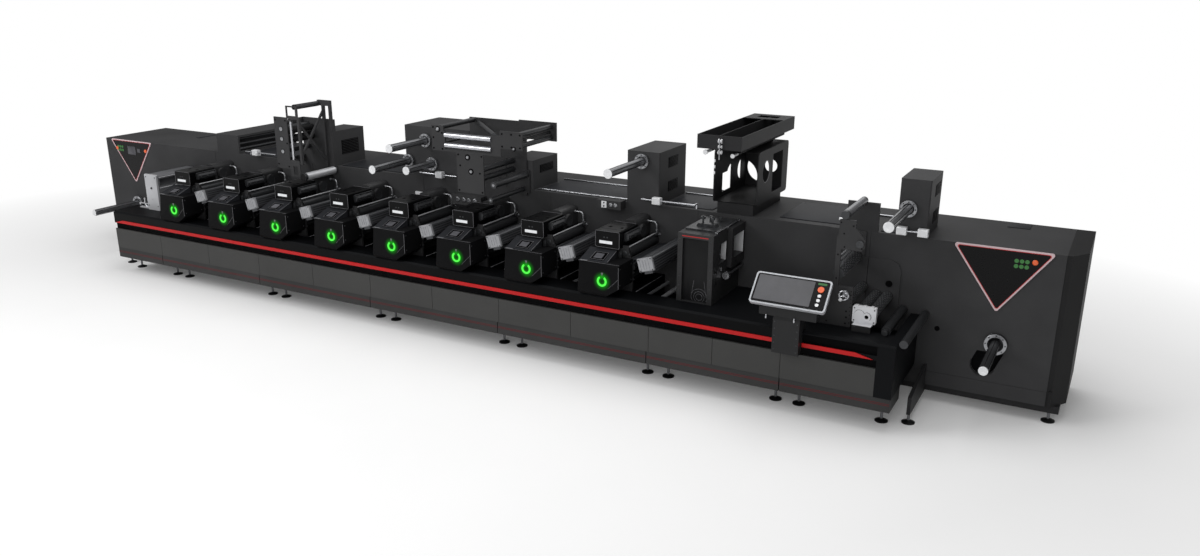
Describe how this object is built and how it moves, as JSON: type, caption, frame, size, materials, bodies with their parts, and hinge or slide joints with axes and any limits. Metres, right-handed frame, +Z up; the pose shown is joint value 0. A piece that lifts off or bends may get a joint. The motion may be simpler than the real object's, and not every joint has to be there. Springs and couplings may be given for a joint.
{
  "type": "narrow web label printing press",
  "caption": "Long web-fed label printing press: a row of print units on a bed, hung from a wall between an unwinder and a rewinder housing.",
  "frame": {"origin": "under the middle of the press, at floor level", "axes": "+X along the web from the unwinder to the rewinder, +Y from the operator's side to the back of the wall, +Z up"},
  "size_m": [11.731, 1.961, 2.24],
  "materials": {
    "aluminium_plate": "satin",
    "bed_grey": "satin",
    "chrome_roll": "polished",
    "cover_grey": "satin",
    "frame_grey": "satin",
    "head_black": "gloss",
    "lamp_white": "matte",
    "painted_black": "satin",
    "painted_dark": "satin",
    "panel_white": "gloss",
    "ring_silver": "satin",
    "screen_glass": "gloss",
    "steel": "satin",
    "stripe_red": "gloss"
  },
  "bodies": {
    "press": {"anilox_rollers": "steel", "base_rails": "painted_black", "bed_panels": "bed_grey", "bed_stripe": "stripe_red", "cassette_ends": "aluminium_plate", "console_body": "painted_dark", "cover_rings": "ring_silver", "die_rollers": "steel", "die_station": "frame_grey", "die_top_plate": "chrome_roll", "end_panels": "panel_white", "first_station": "cover_grey", "gear_covers": "cover_grey", "head_lamps": "lamp_white", "hoist_beam": "painted_dark", "hoist_housing": "painted_dark", "housing_plinth": "painted_black", "idler_rollers": "aluminium_plate", "ink_chambers": "steel", "lamp_cassettes": "aluminium_plate", "leveling_feet": "steel", "machine_wall": "painted_dark", "nip_bars": "chrome_roll", "nip_block": "aluminium_plate", "nip_frame": "frame_grey", "plate_cylinders": "steel", "print_bed": "bed_grey", "print_heads": "head_black", "rail_blocks": "aluminium_plate", "rewinder_cabinet": "painted_dark", "screen_housings": "cover_grey", "screens": "screen_glass", "slitter_plate": "frame_grey", "station_plate": "aluminium_plate", "tower_frame": "painted_dark", "unit_frames": "frame_grey", "unwinder_cabinet": "painted_dark", "wall_boxes": "painted_dark", "wall_rails": "chrome_roll"},
    "upper_left_shaft": {"upper_left_shaft": "chrome_roll"},
    "lower_left_shaft": {"lower_left_shaft": "chrome_roll"},
    "inner_shaft": {"inner_shaft": "chrome_roll"},
    "middle_shaft": {"middle_shaft": "chrome_roll"},
    "waste_shaft": {"waste_shaft": "chrome_roll"},
    "rewind_shaft": {"rewind_shaft": "chrome_roll"},
    "unwind_shaft": {"unwind_shaft": "chrome_roll"}
  },
  "joints": [
    {"name": "upper_left_spin", "type": "hinge", "parent": "press", "child": "upper_left_shaft", "pos_m": [-0.5545, 0.0375, 1.845], "axis": [0, 1, 0], "continuous": true},
    {"name": "lower_left_spin", "type": "hinge", "parent": "press", "child": "lower_left_shaft", "pos_m": [-0.7945, 0.0375, 1.608], "axis": [0, 1, 0], "continuous": true},
    {"name": "inner_spin", "type": "hinge", "parent": "press", "child": "inner_shaft", "pos_m": [-0.4795, 0.0375, 1.6], "axis": [0, 1, 0], "continuous": true},
    {"name": "middle_spin", "type": "hinge", "parent": "press", "child": "middle_shaft", "pos_m": [1.9985, 0.0375, 1.855], "axis": [0, 1, 0], "continuous": true},
    {"name": "waste_spin", "type": "hinge", "parent": "press", "child": "waste_shaft", "pos_m": [4.4735, 0.0375, 1.683], "axis": [0, 1, 0], "continuous": true},
    {"name": "rewind_spin", "type": "hinge", "parent": "press", "child": "rewind_shaft", "pos_m": [5.2815, 0.0375, 0.627], "axis": [0, 1, 0], "continuous": true},
    {"name": "unwind_spin", "type": "hinge", "parent": "press", "child": "unwind_shaft", "pos_m": [-5.3625, 0.0375, 0.627], "axis": [0, 1, 0], "continuous": true}
  ]
}
